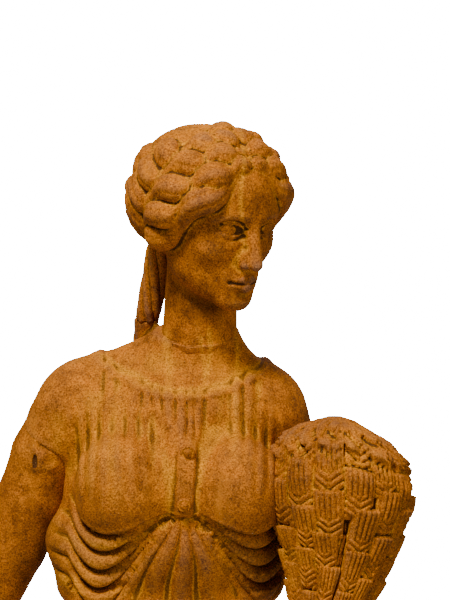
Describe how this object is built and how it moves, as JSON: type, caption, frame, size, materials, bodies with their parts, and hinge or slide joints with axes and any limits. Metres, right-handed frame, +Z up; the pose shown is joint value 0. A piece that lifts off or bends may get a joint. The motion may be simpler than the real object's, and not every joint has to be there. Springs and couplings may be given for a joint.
{
  "type": "statue",
  "caption": "Cast iron garden statue of a draped woman on a low square plinth, with waved hair, a buttoned dress and a tied sheaf of wheat held at her side.",
  "frame": {"origin": "middle of the underside of the plinth", "axes": "+Z up; the figure faces -Y and +X is on her left, where the sheaf is"},
  "size_m": [0.4762, 0.4022, 1.4927],
  "materials": {
    "plinth": "rusted all over, matte",
    "draped_figure": "rusted all over, matte, brighter in the creases",
    "head": "rusted all over, matte, darker on the raised hair",
    "right_arm": "rusted all over, matte",
    "wheat_sheaf": "rusted all over, matte, dark between the ears"
  },
  "bodies": {
    "root": {"plinth": "plinth", "draped_figure": "draped_figure", "head": "head", "right_arm": "right_arm", "wheat_sheaf": "wheat_sheaf"}
  },
  "joints": []
}
